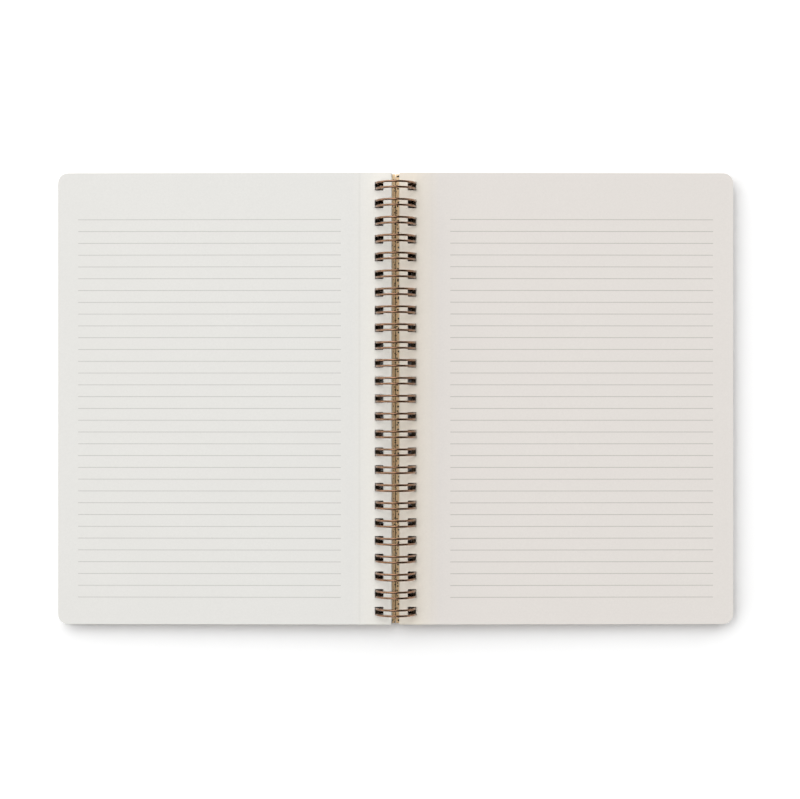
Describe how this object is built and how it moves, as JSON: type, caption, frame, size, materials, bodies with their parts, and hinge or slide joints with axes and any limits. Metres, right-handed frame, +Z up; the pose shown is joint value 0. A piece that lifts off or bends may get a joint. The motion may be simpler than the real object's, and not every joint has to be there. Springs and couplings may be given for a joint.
{
  "type": "open spiral notebook",
  "caption": "Notebook lying open on a twin-loop wire binding, with ruled pages and plain board covers that shut about the rings.",
  "frame": {"origin": "on the table, midway between the two leaves and midway down the page, under the axis of the rings", "axes": "+X across the open book to the right-hand page, +Y up the page to its head, +Z up from the table"},
  "size_m": [0.3234, 0.2158, 0.0196],
  "materials": {
    "wire": "satin",
    "board": "matte",
    "paper": "matte",
    "ink": "matte"
  },
  "bodies": {
    "back_leaf": {"back_cover": "board", "right_pages": "paper", "right_ruling": "ink"},
    "front_leaf": {"front_cover": "board", "left_pages": "paper", "left_ruling": "ink"},
    "binding": {"twin_loop_wire": "wire"}
  },
  "joints": [
    {"name": "front_cover_hinge", "type": "hinge", "parent": "back_leaf", "child": "front_leaf", "pos_m": [0, 0, 0.00985], "axis": [0, 1, 0], "range_deg": [0, 178.5]},
    {"name": "wire_turn", "type": "hinge", "parent": "back_leaf", "child": "binding", "pos_m": [0, 0, 0.00985], "axis": [0, 1, 0], "range_deg": [-22, 22]}
  ]
}
